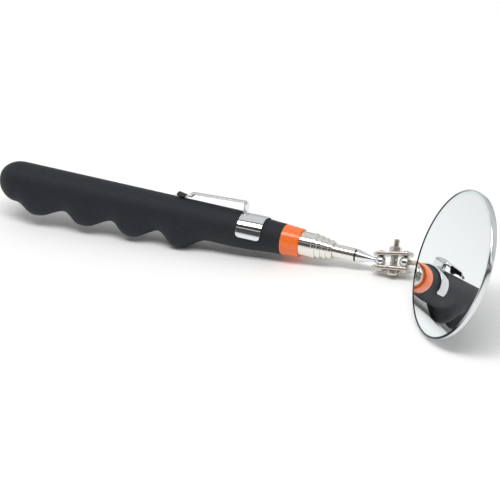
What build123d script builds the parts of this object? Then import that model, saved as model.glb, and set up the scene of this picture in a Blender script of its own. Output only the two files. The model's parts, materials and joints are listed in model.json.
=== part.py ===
from build123d import *
import os
from math import cos, radians, sin, sqrt

# Telescoping inspection mirror: a moulded grip on a nest of five tubes, a double ball
# clamp and a round mirror. Millimetres, lying on a table at z = 0 with +Z up.

os.makedirs("parts", exist_ok=True)

# How the tool lies: on the grip's finger bumps, the clamp screw's head and the bezel.
# Its own directions are along (towards the mirror), up (the clip side) and near (the
# side the mirror is turned to). Places are given in them, and are measured from the
# middle of the collar's front face.
nose_down = 4.005
side_roll = -32.796
collar_place = (17.88, 28.84, 9.47)

# Tubes, from the fixed outer one inwards
tube_names = ["outer_tube", "tube_1", "tube_2", "tube_3"]
tube_radius = 6.3
tube_wall = 0.28
tube_step = 0.55
running_gap = 0.05
mouth_length = 0.75
mouth_wall = 0.35
mouth_round = 0.4
tube_rear = -150.0
tube_rear_step = 1.5
tube_front = 8.5
tube_front_step = 2.85
sleeve_setback = 1.0
sleeve_length = 10.0
sleeve_slit = 1.2
bush_length = 5.0
bush_nose = 0.15
bush_relief = 0.02
rod_radius = 3.43
rod_wall = 0.4
rod_front = 28.6
bead_radius = 3.9
bead_length = 0.8
rear_plug_length = 5.5
rear_plug_chamfer = 0.8

# Grip and collar
grip_radius = 9.2
grip_front = -9.4
grip_front_radius = 7.75
grip_rear = -162.2
rear_dome = 11.5
dome_tip = 0.05
taper_rear = -36.0
taper_length = 27.0
bump_count = 4
bump_pitch = 25.4
first_bump = -63.2
bump_depth = 15.45
bump_rear = 11.5
bump_rise = 9.5
bump_front = 0.5
bump_fall = 13.5
valley_front = -50.0
valley_slope = 0.019
dome_steps = (0.3, 1.2, 3.0, 5.5, 8.5)
bump_stations = 35
bump_stations_rear = -150.6
bump_stations_front = -48.0
taper_stations = (-40, -34, -27, -21, -15)
cut_margin = 5.0
collar_front_radius = 7.1
collar_rear_radius = 7.7
collar_round = 0.35

# Pocket clip
band_front = -19.4
band_length = 12.9
band_inner = 8.6
clip_wall = 0.6
band_wrap = 222.0
band_corner = 2.0
seat_cut = 2.0
clip_turn = 5.0
arm_width = 6.8
arm_root = (-32.0, 8.95)
arm_shoulder = (-31.9, 13.5)
arm_bend = (-60.3, 12.0)
arm_touch = (-63.0, 9.75)
arm_toe = (-68.9, 11.3)
arm_radii = (1.4, 0.9, 1.2)

# Rod tip and ball clamp
cone_base = 28.9
cone_base_radius = 3.35
cone_land = 0.6
cone_plug_length = 9.0
neck_start = 37.5
neck_radius = 1.35
neck_gap = 0.01
pin_radius = 1.0
pin_reach = 1.0
rod_ball_at = 41.9
rod_ball_radius = 2.7
stud_ball_radius = 3.0
ball_spacing = 12.9
seat_gap = 0.05
plate_along = (0.9917, 0.1204, 0.0424)
screw_along = (-0.1153, 0.9873, -0.1096)
plate_width = 8.0
plate_thickness = 1.8
plate_gap = 4.9
plate_splay = 4.0
plate_round = 0.4
dimple_radius = 2.4
dimple_height = 0.7
dimple_root = 0.2
dimple_taper = 18.0
screw_at = 7.0
shoulder_radius = 1.9
shoulder_setback = 0.25
thread_radius = 1.6
thread_chamfer = 0.3
hole_gap = 0.1
head_radius = 3.0
head_height = 2.0
head_round = 0.9
head_slot = (0.8, 0.9)
lock_washer_height = 0.7
seat_washer_radius = 3.4
seat_washer_rise = 0.55
nut_flats = 5.5
nut_height = 2.2
thread_reach = 3.9

# Mirror head
mirror_radius = 37.6
mirror_depth = 3.5
mirror_offset = (39.2, 4.9, 47.0)
mirror_facing = (-0.70, 0.065, 0.711)
bezel_wall = 0.5
bezel_sheet = 0.35
front_lip = 1.0
rear_lip = 1.6
glass_thickness = 2.0
pad_thickness = 0.25
fit_gap = 0.05
stud_radius = 1.2
stud_pin_radius = 0.9
stud_shoulder_gap = 0.03
stud_head_radius = 1.35
stud_head_height = 0.6
lug_rim_gap = 3.1
lug_length = 10.0
lug_flange = (16.0, 1.0)
lug_boss_radius = 2.4
rivet_spacing = 11.4
rivet_radius = 1.0
rivet_head = (1.7, 0.8)
rivet_round = 0.6


# The tool's own plane: local X along the tubes, local Y up, local Z to the near side.
nose = radians(nose_down)
tube_axis = Axis(collar_place, (cos(nose), 0, -sin(nose)))
near_side = Vector(0, -1, 0).rotate(tube_axis, side_roll)
tool = Plane(collar_place, x_dir=tube_axis.direction, z_dir=near_side)


def place(along, up=0, near=0):
    """A point given in the tool's own directions."""
    return tool.from_local_coords(Vector(along, up, near))


def direction(along, up, near):
    """A unit direction given in the tool's own directions."""
    return (place(along, up, near) - place(0)).normalized()


def across(along):
    """The plane square to the tubes at a distance along them, with its X up."""
    return Plane(place(along), x_dir=tool.y_dir, z_dir=tool.x_dir)


def rear_of(number):
    """Where a tube starts, counted from the outer one: the others nest in front of the plug."""
    return tube_rear + rear_plug_length + number * tube_rear_step if number else tube_rear


def ease(value):
    """Zero below 0, one above 1 and a smooth step between."""
    value = min(max(value, 0), 1)
    return value * value * (3 - 2 * value)


clip_plane = Plane(collar_place, x_dir=tool.x_dir, z_dir=near_side.rotate(tube_axis, clip_turn))
band_rear = band_front - band_length
band_outer = band_inner + clip_wall
band_plane = Plane(place(band_rear), x_dir=clip_plane.y_dir, z_dir=tool.x_dir)

# ---------------------------------------------------------------- grip
def palm(along):
    """Radius of the round back of the grip."""
    if along < grip_rear + rear_dome:
        share = 1 - (along - grip_rear) / rear_dome
        return grip_radius * sqrt(max(1 - share * share, dome_tip))
    taper = ease((along - taper_rear) / taper_length)
    return grip_radius - (grip_radius - grip_front_radius) * taper


def finger(along):
    """Depth of the finger side of the grip, with its row of bumps."""
    behind = max(valley_front - along, 0)
    base = palm(along) * (1 + valley_slope * behind / grip_radius)
    rise = 0
    for number in range(bump_count):
        offset = along - (first_bump - number * bump_pitch)
        rear_side = ease((offset + bump_rear) / bump_rise)
        rise += rear_side * (1 - ease((offset - bump_front) / bump_fall))
    return base + (bump_depth - base) * rise


stations = [grip_rear + step for step in dome_steps]
for number in range(bump_stations):
    share = number / (bump_stations - 1)
    stations.append(bump_stations_rear + (bump_stations_front - bump_stations_rear) * share)
stations += [*taper_stations, grip_front]

with BuildPart() as grip:
    for station in stations:
        with BuildSketch(across(station)):
            with BuildLine():
                CenterArc((0, 0), palm(station), -90, 180)
                EllipticalCenterArc((0, 0), finger(station), palm(station), 90, arc_size=180)
            make_face()
    loft()
    with BuildSketch(across(tube_rear)):
        Circle(tube_radius)
    extrude(amount=grip_front - tube_rear, mode=Mode.SUBTRACT)
    # The band presses its own seat into the grip.
    with BuildSketch(band_plane):
        with BuildLine():
            CenterArc((0, 0), band_inner + seat_cut / 2, -band_wrap / 2, band_wrap)
        trace(line_width=seat_cut)
    extrude(amount=band_length, mode=Mode.SUBTRACT)
grip.part.label = "grip"
export_step(grip.part, "parts/grip.step")

with BuildPart() as collar:
    with BuildSketch(tool):
        with BuildLine():
            Polyline(
                (grip_front, tube_radius),
                (grip_front, collar_rear_radius),
                (-collar_round, collar_front_radius),
                (0, collar_front_radius - collar_round),
                (0, tube_radius),
                close=True,
            )
        make_face()
    revolve(axis=tube_axis)
collar.part.label = "collar"
export_step(collar.part, "parts/collar.step")

# ---------------------------------------------------------------- pocket clip
with BuildPart() as pocket_clip:
    with BuildSketch(band_plane):
        with BuildLine():
            CenterArc((0, 0), (band_inner + band_outer) / 2, -band_wrap / 2, band_wrap)
        trace(line_width=clip_wall)
    extrude(amount=band_length)
    free_ends = pocket_clip.edges().filter_by(lambda edge: abs(edge.length - clip_wall) < 0.01)
    fillet(free_ends, radius=band_corner)
    with BuildSketch(clip_plane):
        with BuildLine():
            FilletPolyline(arm_root, arm_shoulder, arm_bend, arm_touch, arm_toe, radius=arm_radii)
        trace(line_width=clip_wall)
    extrude(amount=arm_width / 2, both=True)
pocket_clip.part.label = "pocket_clip"
export_step(pocket_clip.part, "parts/pocket_clip.step")

# ---------------------------------------------------------------- telescoping tubes
for number, name in enumerate(tube_names):
    outer = tube_radius - number * tube_step
    inner = outer - tube_wall
    mouth = outer - tube_step + running_gap
    rear = rear_of(number)
    front = tube_front + number * tube_front_step
    with BuildPart() as tube:
        with BuildSketch(tool):
            with BuildLine():
                Polyline(
                    (front - mouth_round, outer),
                    (rear, outer),
                    (rear, inner),
                    (front - mouth_length, inner),
                    (front - mouth_wall, mouth),
                    (front, mouth),
                    (front, outer - mouth_round),
                )
                RadiusArc((front, outer - mouth_round), (front - mouth_round, outer), -mouth_round)
            make_face()
        revolve(axis=tube_axis)
    tube.part.label = name
    export_step(tube.part, f"parts/{name}.step")

# A split spring sleeve grips the bore of the tube outside it.
for number in range(1, len(tube_names)):
    name = f"friction_sleeve_{number}"
    inner = tube_radius - number * tube_step
    outer = inner + tube_step - tube_wall - running_gap
    rear = rear_of(number) + sleeve_setback
    with BuildPart() as sleeve:
        with BuildSketch(across(rear)):
            Circle(outer)
            Circle(inner, mode=Mode.SUBTRACT)
            with Locations((-outer, 0)):
                Rectangle(2 * outer, sleeve_slit, mode=Mode.SUBTRACT)
        extrude(amount=sleeve_length)
    sleeve.part.label = name
    export_step(sleeve.part, f"parts/{name}.step")

with BuildPart() as rear_plug:
    with BuildSketch(across(tube_rear)):
        Circle(tube_radius - tube_wall)
    extrude(amount=rear_plug_length)
    chamfer(rear_plug.faces().sort_by(tube_axis)[-1].edges(), length=rear_plug_chamfer)
rear_plug.part.label = "rear_plug"
export_step(rear_plug.part, "parts/rear_plug.step")

last_outer = tube_radius - (len(tube_names) - 1) * tube_step
last_inner = last_outer - tube_wall
last_mouth = last_outer - tube_step + running_gap
last_front = tube_front + (len(tube_names) - 1) * tube_front_step
rod_bore = rod_radius + running_gap

with BuildPart() as mouth_bush:
    with BuildSketch(tool):
        with BuildLine():
            Polyline(
                (last_front - mouth_length - bush_length, rod_bore),
                (last_front - mouth_length - bush_length, last_inner),
                (last_front - mouth_length, last_inner),
                (last_front - mouth_length + bush_relief, last_mouth - bush_relief),
                (last_front + bush_nose, last_mouth - bush_relief),
                (last_front + bush_nose, rod_bore),
                close=True,
            )
        make_face()
    revolve(axis=tube_axis)
mouth_bush.part.label = "mouth_bush"
export_step(mouth_bush.part, "parts/mouth_bush.step")

# The rod is the last tube. It turns in its guide between two rolled beads.
rod_rear = rear_of(len(tube_names))
guide_rear = rod_rear + bead_length + running_gap
guide_front = guide_rear + sleeve_length

with BuildPart() as rod:
    with BuildSketch(tool):
        with BuildLine():
            Polyline(
                (rod_rear, rod_radius - rod_wall),
                (rod_rear, bead_radius),
                (rod_rear + bead_length, bead_radius),
                (rod_rear + bead_length, rod_radius),
                (guide_front + running_gap, rod_radius),
                (guide_front + running_gap, bead_radius),
                (guide_front + running_gap + bead_length, bead_radius),
                (guide_front + running_gap + bead_length, rod_radius),
                (rod_front, rod_radius),
                (rod_front, rod_radius - rod_wall),
                close=True,
            )
        make_face()
    revolve(axis=tube_axis)
rod.part.label = "rod"
export_step(rod.part, "parts/rod.step")

with BuildPart() as rod_guide:
    with BuildSketch(across(guide_rear)):
        Circle(last_inner - running_gap)
        Circle(rod_bore, mode=Mode.SUBTRACT)
        with Locations((-last_inner, 0)):
            Rectangle(2 * last_inner, sleeve_slit, mode=Mode.SUBTRACT)
    extrude(amount=sleeve_length)
rod_guide.part.label = "rod_guide"
export_step(rod_guide.part, "parts/rod_guide.step")

# ---------------------------------------------------------------- rod tip
neck_end = rod_ball_at - sqrt(rod_ball_radius**2 - pin_radius**2) - neck_gap

with BuildPart() as rod_tip:
    with BuildSketch(tool):
        with BuildLine():
            Polyline(
                (rod_front - cone_plug_length, 0),
                (rod_front - cone_plug_length, rod_radius - rod_wall),
                (rod_front, rod_radius - rod_wall),
                (rod_front, cone_base_radius),
                (cone_base + cone_land, cone_base_radius),
                (neck_start, neck_radius),
                (neck_end, neck_radius),
                (neck_end, pin_radius),
                (rod_ball_at + pin_reach, pin_radius),
                (rod_ball_at + pin_reach, 0),
                close=True,
            )
        make_face()
    revolve(axis=tube_axis)
rod_tip.part.label = "rod_tip"
export_step(rod_tip.part, "parts/rod_tip.step")

with BuildPart() as rod_ball:
    with BuildSketch(tool):
        with BuildLine():
            CenterArc((rod_ball_at, 0), rod_ball_radius, 0, 180)
            Line((rod_ball_at - rod_ball_radius, 0), (rod_ball_at + rod_ball_radius, 0))
        make_face()
    revolve(axis=tube_axis)
    with BuildSketch(across(rod_ball_at + pin_reach)):
        Circle(pin_radius)
    extrude(amount=-2 * rod_ball_radius, mode=Mode.SUBTRACT)
rod_ball.part.label = "rod_ball"
export_step(rod_ball.part, "parts/rod_ball.step")

# ---------------------------------------------------------------- ball clamp
# Local X runs from the rod's ball to the stud's ball and local Z along the screw.
clamp = Plane(place(rod_ball_at), x_dir=direction(*plate_along), z_dir=direction(*screw_along))
splay = radians(plate_splay)
half_gap = plate_gap / 2
stud_ball_rise = ball_spacing * sin(splay) / 2
stud_ball_centre = clamp.from_local_coords(Vector(ball_spacing, 0, stud_ball_rise))
lower_face = clamp.offset(-half_gap)
splay_axis = Axis(clamp.origin, clamp.y_dir)
upper_face = Plane(
    clamp.offset(half_gap).origin,
    x_dir=clamp.x_dir.rotate(splay_axis, -plate_splay),
    z_dir=clamp.z_dir.rotate(splay_axis, -plate_splay),
)
screw_centre = clamp.from_local_coords(Vector(screw_at, 0, 0))
upper_face_rise = half_gap + screw_at * sin(splay) / cos(splay)
plate_top = upper_face_rise + plate_thickness / cos(splay)
nut_seat = plate_top + seat_washer_rise


def screw_station(rise):
    """The plane square to the clamp screw at a height above the clamp's middle."""
    return Plane(clamp.from_local_coords(Vector(screw_at, 0, rise)), x_dir=clamp.x_dir, z_dir=clamp.z_dir)


def seat(centre, radius):
    """A ball to cut a seat with."""
    return Solid.make_sphere(radius + seat_gap, Plane(centre))


seats = [seat(place(rod_ball_at), rod_ball_radius), seat(stud_ball_centre, stud_ball_radius)]
plate_faces = {"lower_plate": (lower_face, -1), "upper_plate": (upper_face, 1)}
for name, (inner_face, outward) in plate_faces.items():
    with BuildPart() as plate:
        with BuildSketch(inner_face):
            with Locations((ball_spacing / 2, 0)):
                SlotCenterToCenter(ball_spacing, plate_width)
        extrude(amount=outward * plate_thickness)
        outer_side = plate.faces().sort_by(Axis(clamp.origin, clamp.z_dir))[-1 if outward > 0 else 0]
        fillet(outer_side.edges(), radius=plate_round)
        with BuildSketch(inner_face.offset(outward * (plate_thickness - dimple_root))):
            with Locations((0, 0), (ball_spacing, 0)):
                Circle(dimple_radius)
        extrude(amount=outward * (dimple_height + dimple_root), taper=dimple_taper)
        add(seats, mode=Mode.SUBTRACT)
        with BuildSketch(screw_station(0)):
            Circle(shoulder_radius + hole_gap)
        extrude(amount=plate_gap + cut_margin, both=True, mode=Mode.SUBTRACT)
    plate.part.label = name
    export_step(plate.part, f"parts/{name}.step")

with BuildPart() as seat_washer:
    with BuildSketch(screw_station(nut_seat)):
        Circle(seat_washer_radius)
        Circle(thread_radius + hole_gap, mode=Mode.SUBTRACT)
    extrude(amount=-2 * seat_washer_rise)
    split(bisect_by=upper_face.offset(plate_thickness), keep=Keep.TOP)
seat_washer.part.label = "seat_washer"
export_step(seat_washer.part, "parts/seat_washer.step")

with BuildPart() as clamp_nut:
    with BuildSketch(screw_station(nut_seat)):
        RegularPolygon(nut_flats / 2, 6, major_radius=False)
        Circle(thread_radius + running_gap, mode=Mode.SUBTRACT)
    extrude(amount=nut_height)
clamp_nut.part.label = "clamp_nut"
export_step(clamp_nut.part, "parts/clamp_nut.step")

head_seat = -half_gap - plate_thickness - lock_washer_height
with BuildPart() as lock_washer:
    with BuildSketch(screw_station(head_seat)):
        Circle(head_radius)
        Circle(shoulder_radius + hole_gap, mode=Mode.SUBTRACT)
    extrude(amount=lock_washer_height)
lock_washer.part.label = "lock_washer"
export_step(lock_washer.part, "parts/lock_washer.step")

with BuildPart() as clamp_screw:
    with BuildSketch(screw_station(head_seat)):
        Circle(head_radius)
    extrude(amount=-head_height)
    fillet(clamp_screw.faces().sort_by(Axis(clamp.origin, clamp.z_dir))[0].edges(), radius=head_round)
    with BuildSketch(screw_station(head_seat - head_height)):
        Rectangle(2 * head_radius + cut_margin, head_slot[0])
    extrude(amount=head_slot[1], mode=Mode.SUBTRACT)
    with BuildSketch(screw_station(head_seat)):
        Circle(shoulder_radius)
    extrude(amount=upper_face_rise - shoulder_setback - head_seat)
    with BuildSketch(screw_station(head_seat)):
        Circle(thread_radius)
    extrude(amount=nut_seat + nut_height + thread_reach - head_seat)
    chamfer(clamp_screw.faces().sort_by(Axis(clamp.origin, clamp.z_dir))[-1].edges(), length=thread_chamfer)
clamp_screw.part.label = "clamp_screw"
export_step(clamp_screw.part, "parts/clamp_screw.step")

# ---------------------------------------------------------------- mirror head
# Local X runs from the stud's ball across the glass and local Z out of the glass.
glass_normal = direction(*mirror_facing)
mirror_centre = stud_ball_centre + place(*mirror_offset) - place(0)
to_centre = mirror_centre - stud_ball_centre
ball_drop = to_centre.dot(glass_normal)
stud_dir = (to_centre - glass_normal * ball_drop).normalized()
mirror = Plane(mirror_centre, x_dir=stud_dir, z_dir=glass_normal)
mirror_side = Plane(mirror_centre, x_dir=stud_dir, z_dir=stud_dir.cross(glass_normal))
mirror_axis = Axis(mirror_centre, glass_normal)
ball_reach = (to_centre - glass_normal * ball_drop).length
inner_radius = mirror_radius - bezel_wall
glass_radius = inner_radius - fit_gap
back_face = -mirror_depth + bezel_sheet
pad_face = -bezel_sheet - glass_thickness
back_front = pad_face - pad_thickness

with BuildPart() as bezel:
    with BuildSketch(mirror_side):
        with BuildLine():
            Polyline(
                (mirror_radius - front_lip, 0),
                (mirror_radius - bezel_sheet, 0),
                (mirror_radius, -bezel_sheet),
                (mirror_radius, bezel_sheet - mirror_depth),
                (mirror_radius - bezel_sheet, -mirror_depth),
                (mirror_radius - rear_lip, -mirror_depth),
                (mirror_radius - rear_lip, back_face),
                (inner_radius, back_face),
                (inner_radius, -bezel_sheet),
                (mirror_radius - front_lip, -bezel_sheet),
                close=True,
            )
        make_face()
    revolve(axis=mirror_axis)
bezel.part.label = "bezel"
export_step(bezel.part, "parts/bezel.step")

discs = {
    "mirror_glass": (-bezel_sheet, pad_face),
    "backing_pad": (pad_face, back_front),
    "back_plate": (back_front, back_face),
}
lug_middle = -mirror_radius + lug_rim_gap + lug_length / 2
for name, (front, rear) in discs.items():
    with BuildPart() as disc:
        with BuildSketch(mirror.offset(rear)):
            Circle(glass_radius)
            if name == "back_plate":
                with Locations((lug_middle, -rivet_spacing / 2), (lug_middle, rivet_spacing / 2)):
                    Circle(rivet_radius, mode=Mode.SUBTRACT)
        extrude(amount=front - rear)
    disc.part.label = name
    export_step(disc.part, f"parts/{name}.step")

stud_height = -ball_drop
boss_section = Plane(
    mirror.from_local_coords(Vector(-mirror_radius + lug_rim_gap, 0, 0)),
    x_dir=mirror.y_dir,
    z_dir=mirror.x_dir,
)
with BuildPart() as stud_lug:
    with BuildSketch(boss_section):
        with Locations((0, back_face - lug_flange[1] / 2)):
            Rectangle(*lug_flange)
        with Locations((0, (back_face + stud_height) / 2)):
            Rectangle(2 * lug_boss_radius, back_face - stud_height)
        with Locations((0, stud_height)):
            Circle(lug_boss_radius)
            Circle(stud_radius, mode=Mode.SUBTRACT)
    extrude(amount=lug_length)
    with BuildSketch(mirror.offset(back_face - lug_flange[1])):
        with Locations((lug_middle, -rivet_spacing / 2), (lug_middle, rivet_spacing / 2)):
            Circle(rivet_radius)
    extrude(amount=lug_flange[1], mode=Mode.SUBTRACT)
stud_lug.part.label = "stud_lug"
export_step(stud_lug.part, "parts/stud_lug.step")

with BuildPart() as lug_rivets:
    with BuildSketch(mirror.offset(back_front)):
        with Locations((lug_middle, -rivet_spacing / 2), (lug_middle, rivet_spacing / 2)):
            Circle(rivet_radius)
    extrude(amount=back_face - lug_flange[1] - back_front)
    with BuildSketch(mirror.offset(back_face - lug_flange[1])):
        with Locations((lug_middle, -rivet_spacing / 2), (lug_middle, rivet_spacing / 2)):
            Circle(rivet_head[0])
    extrude(amount=-rivet_head[1])
    fillet(lug_rivets.faces().group_by(mirror_axis)[0].edges(), radius=rivet_round)
lug_rivets.part.label = "lug_rivets"
export_step(lug_rivets.part, "parts/lug_rivets.step")

# The stud turns in its drilled ball and is held by a small peened head.
stud_plane = Plane(stud_ball_centre, x_dir=stud_dir, z_dir=mirror_side.z_dir)
stud_axis = Axis(stud_ball_centre, stud_dir)
stud_end = ball_reach - mirror_radius + lug_rim_gap + lug_length
pin_start = -sqrt(stud_ball_radius**2 - stud_head_radius**2)
pin_bore = stud_pin_radius + running_gap
stud_shoulder = sqrt(stud_ball_radius**2 - pin_bore**2) + stud_shoulder_gap

with BuildPart() as stud:
    with BuildSketch(stud_plane):
        with BuildLine():
            Polyline(
                (pin_start, 0),
                (pin_start, stud_head_radius),
                (pin_start + stud_head_height, stud_head_radius),
                (pin_start + stud_head_height, stud_pin_radius),
                (stud_shoulder, stud_pin_radius),
                (stud_shoulder, stud_radius),
                (stud_end, stud_radius),
                (stud_end, 0),
                close=True,
            )
        make_face()
    revolve(axis=stud_axis)
stud.part.label = "stud"
export_step(stud.part, "parts/stud.step")

with BuildPart() as stud_ball:
    with BuildSketch(stud_plane):
        with BuildLine():
            CenterArc((0, 0), stud_ball_radius, 0, 180)
            Line((-stud_ball_radius, 0), (stud_ball_radius, 0))
        make_face()
    revolve(axis=stud_axis)
    bore_plane = Plane(stud_ball_centre, x_dir=mirror.y_dir, z_dir=stud_dir)
    with BuildSketch(bore_plane):
        Circle(pin_bore)
    extrude(amount=stud_ball_radius, both=True, mode=Mode.SUBTRACT)
    with BuildSketch(bore_plane.offset(pin_start + stud_head_height + running_gap)):
        Circle(stud_head_radius + running_gap)
    extrude(amount=-stud_ball_radius, mode=Mode.SUBTRACT)
stud_ball.part.label = "stud_ball"
export_step(stud_ball.part, "parts/stud_ball.step")

for label, point in {
    "rod ball": place(rod_ball_at),
    "stud ball": stud_ball_centre,
    "clamp screw": screw_centre,
    "mirror centre": mirror_centre,
    "collar front": place(0),
}.items():
    print(label, "at", [round(value / 1000, 6) for value in tuple(point)])
for label, way in {
    "tubes": tool.x_dir,
    "clamp screw": clamp.z_dir,
    "stud": stud_dir,
    "glass": glass_normal,
    "clip": clip_plane.y_dir,
}.items():
    print(label, "point along", [round(value, 6) for value in tuple(way)])
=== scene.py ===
"""Telescoping inspection mirror: the looks of its pieces, laid out as an add-on."""
import json
import math

import bmesh
import bpy
from bpy.props import FloatProperty, FloatVectorProperty, IntProperty, PointerProperty
from bpy.types import Operator, Panel, PropertyGroup
from mathutils import Matrix, Vector


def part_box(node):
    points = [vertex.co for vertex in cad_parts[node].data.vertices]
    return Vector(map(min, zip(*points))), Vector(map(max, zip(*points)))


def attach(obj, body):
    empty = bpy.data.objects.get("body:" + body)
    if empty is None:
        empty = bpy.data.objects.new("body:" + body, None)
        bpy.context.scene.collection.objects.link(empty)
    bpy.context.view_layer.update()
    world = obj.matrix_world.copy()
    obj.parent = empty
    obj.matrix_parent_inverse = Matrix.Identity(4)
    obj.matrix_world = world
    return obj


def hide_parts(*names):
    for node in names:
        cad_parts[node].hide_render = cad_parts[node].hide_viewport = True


bl_info = {
    "name": "Telescoping inspection mirror",
    "version": (1, 0, 0),
    "blender": (4, 5, 0),
    "location": "View3D > Sidebar > Inspection mirror",
    "description": "Models and finishes the pieces of a telescoping inspection mirror",
    "category": "Object",
}

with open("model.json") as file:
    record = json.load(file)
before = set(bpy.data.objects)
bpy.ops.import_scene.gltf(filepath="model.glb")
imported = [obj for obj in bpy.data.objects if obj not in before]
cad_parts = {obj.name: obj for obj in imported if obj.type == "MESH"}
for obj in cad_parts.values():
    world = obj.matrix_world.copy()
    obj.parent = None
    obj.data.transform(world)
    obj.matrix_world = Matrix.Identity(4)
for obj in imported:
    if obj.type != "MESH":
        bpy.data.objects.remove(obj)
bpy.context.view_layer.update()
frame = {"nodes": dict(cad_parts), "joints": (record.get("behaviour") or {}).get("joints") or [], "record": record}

# Pieces are shaped on the bench in millimetres, each about its own axes, and then put in place.
MM = 0.001
WHOLE_TURN = 2 * math.pi


# ---------------------------------------------------------------- places from the frame
def bench(origin, z_way, x_hint):
    """The bench's own axes in the frame: Z along z_way and X as near to x_hint as it can be."""
    z_axis = Vector(z_way).normalized()
    x_axis = (Vector(x_hint) - z_axis * z_axis.dot(x_hint)).normalized()
    axes = Matrix((x_axis, z_axis.cross(x_axis), z_axis)).transposed().to_4x4()
    return Matrix.Translation(origin) @ axes


def reach(node, axes, coordinate):
    """How far a CAD node reaches along one of the bench's axes, lowest and highest, in mm."""
    back = axes.inverted()
    values = [(back @ vertex.co)[coordinate] / MM for vertex in frame["nodes"][node].data.vertices]
    return min(values), max(values)


def widest(node, axes):
    """A CAD node's largest radius about the bench's Z, in mm."""
    back = axes.inverted()
    return max((back @ vertex.co).xy.length / MM for vertex in frame["nodes"][node].data.vertices)


joints = {joint["name"]: joint for joint in frame["joints"]}
mounts = {mount["name"]: mount for mount in frame["record"]["mounts"]}
collar_front = Vector(joints["rod_swivel"]["pos_m"])
along = Vector(joints["rod_slide"]["axis"])
rod_ball = Vector(joints["clamp_swing"]["pos_m"])
screw_way = Vector(joints["clamp_swing"]["axis"])
stud_ball = Vector(joints["mirror_swing"]["pos_m"])
stud_way = Vector(joints["mirror_turn"]["axis"])
clip_way = Vector(mounts["clip_gap"]["pos_m"]) - collar_front

tube_bench = bench(collar_front, along, clip_way)
clamp_bench = bench(rod_ball, screw_way, stud_ball - rod_ball)
screw_bench = bench(joints["screw_turn"]["pos_m"], screw_way, stud_ball - rod_ball)
glass_low, glass_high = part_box("mirror_glass")
glass_middle = (glass_low + glass_high) / 2
ball_to_glass = glass_middle - stud_ball
facing = (ball_to_glass - stud_way * ball_to_glass.dot(stud_way)).normalized()
glass_bench = bench(glass_middle, facing, stud_way)
ball_spacing = (clamp_bench.inverted() @ stud_ball).x / MM
stud_ball_rise = (clamp_bench.inverted() @ stud_ball).z / MM


# ---------------------------------------------------------------- settings
def length_setting(name, description, default):
    """A size in millimetres that a user can change."""
    return FloatProperty(name=name, description=description, default=default, min=0.0, precision=3)


def colour_setting(name, description, default):
    """A colour that a user can change, given as an sRGB hex value."""
    return FloatVectorProperty(
        name=name, description=description, default=linear(default), subtype="COLOR", min=0.0, max=1.0
    )


def linear(hex_value):
    """An sRGB hex value as the linear red, green and blue that the shaders take."""
    channels = [int(hex_value[start : start + 2], 16) / 255 for start in (1, 3, 5)]
    return tuple(c / 12.92 if c <= 0.04045 else ((c + 0.055) / 1.055) ** 2.4 for c in channels)


class HandleSettings(PropertyGroup):
    """The grip, the collar and the pocket clip."""

    grip_colour: colour_setting("Grip", "Colour of the moulded vinyl grip", "#15181E")
    grip_bloom: colour_setting("Grip bloom", "Colour of the paler patches on the grip", "#24282F")
    collar_colour: colour_setting("Collar", "Colour of the glossy collar", "#FF7628")
    collar_edge: length_setting("Collar edge", "Rounding of the collar's edges, in mm", 0.3)
    clip_wall: length_setting("Clip wall", "Thickness of the clip's spring strip, in mm", 0.55)
    clip_crown: length_setting("Clip crown", "How far the clip's arm is crowned across, in mm", 0.8)
    clip_edge: length_setting("Clip edge", "Rounding of the clip's sheared edges, in mm", 0.12)
    band_corner: length_setting("Band corner", "Corner radius at the band's free ends, in mm", 2.0)
    toe_curl: length_setting("Toe curl", "How far the toe's edges curl down, in mm", 0.9)
    toe_corner: length_setting("Toe corner", "Corner radius of the clip's toe, in mm", 2.2)


class TubeSettings(PropertyGroup):
    """The nest of tubes, the rod and its tip."""

    swell: length_setting("Mouth swell", "How far each tube swells behind its mouth, in mm", 0.22)
    swell_length: length_setting("Swell length", "Length of the swell at each mouth, in mm", 2.2)
    mouth_round: length_setting("Mouth round", "Rounding of each tube's rolled mouth, in mm", 0.4)
    segments: IntProperty(
        name="Segments", description="Steps round each turned piece", default=96, min=24
    )


class ClampSettings(PropertyGroup):
    """The ball clamp's plates and fasteners."""

    plate_edge: length_setting("Plate edge", "Rounding of the plates' edges, in mm", 0.5)
    dome_height: length_setting("Dome height", "How far the pressed domes stand proud, in mm", 1.1)
    dome_radius: length_setting("Dome radius", "Radius of the pressed domes at the plate, in mm", 2.7)
    thread_pitch: length_setting("Thread pitch", "Pitch of the clamp screw's thread, in mm", 0.8)
    thread_depth: length_setting("Thread depth", "Depth of the clamp screw's thread, in mm", 0.25)
    slot_width: length_setting("Slot width", "Width of the screw's slot, in mm", 0.9)
    slot_depth: length_setting("Slot depth", "Depth of the screw's slot, in mm", 1.0)


class MirrorSettings(PropertyGroup):
    """The round mirror, its rim and its back."""

    rim_round: length_setting("Rim round", "Rounding of the rim's rolled front edge, in mm", 0.9)
    lip_inside: length_setting("Lip inside", "How far the front lip reaches over the glass, in mm", 1.0)
    glass_colour: colour_setting("Glass", "Tint of the silvered glass", "#EFF3F4")


# ---------------------------------------------------------------- bench tools
def begin():
    """Leaves every object unselected, so that an operator acts on the new one only."""
    if bpy.context.object and bpy.context.object.mode != "OBJECT":
        bpy.ops.object.mode_set(mode="OBJECT")
    bpy.ops.object.select_all(action="DESELECT")


def pick_up(piece):
    """Makes a piece the only selected one."""
    begin()
    piece.select_set(True)
    bpy.context.view_layer.objects.active = piece


def start_piece(name):
    """Names the primitive that was just added and opens it in edit mode."""
    piece = bpy.context.object
    piece.name = name
    piece.data.name = name
    bpy.ops.object.mode_set(mode="EDIT")
    bpy.ops.mesh.select_mode(type="VERT")
    return piece


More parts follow.
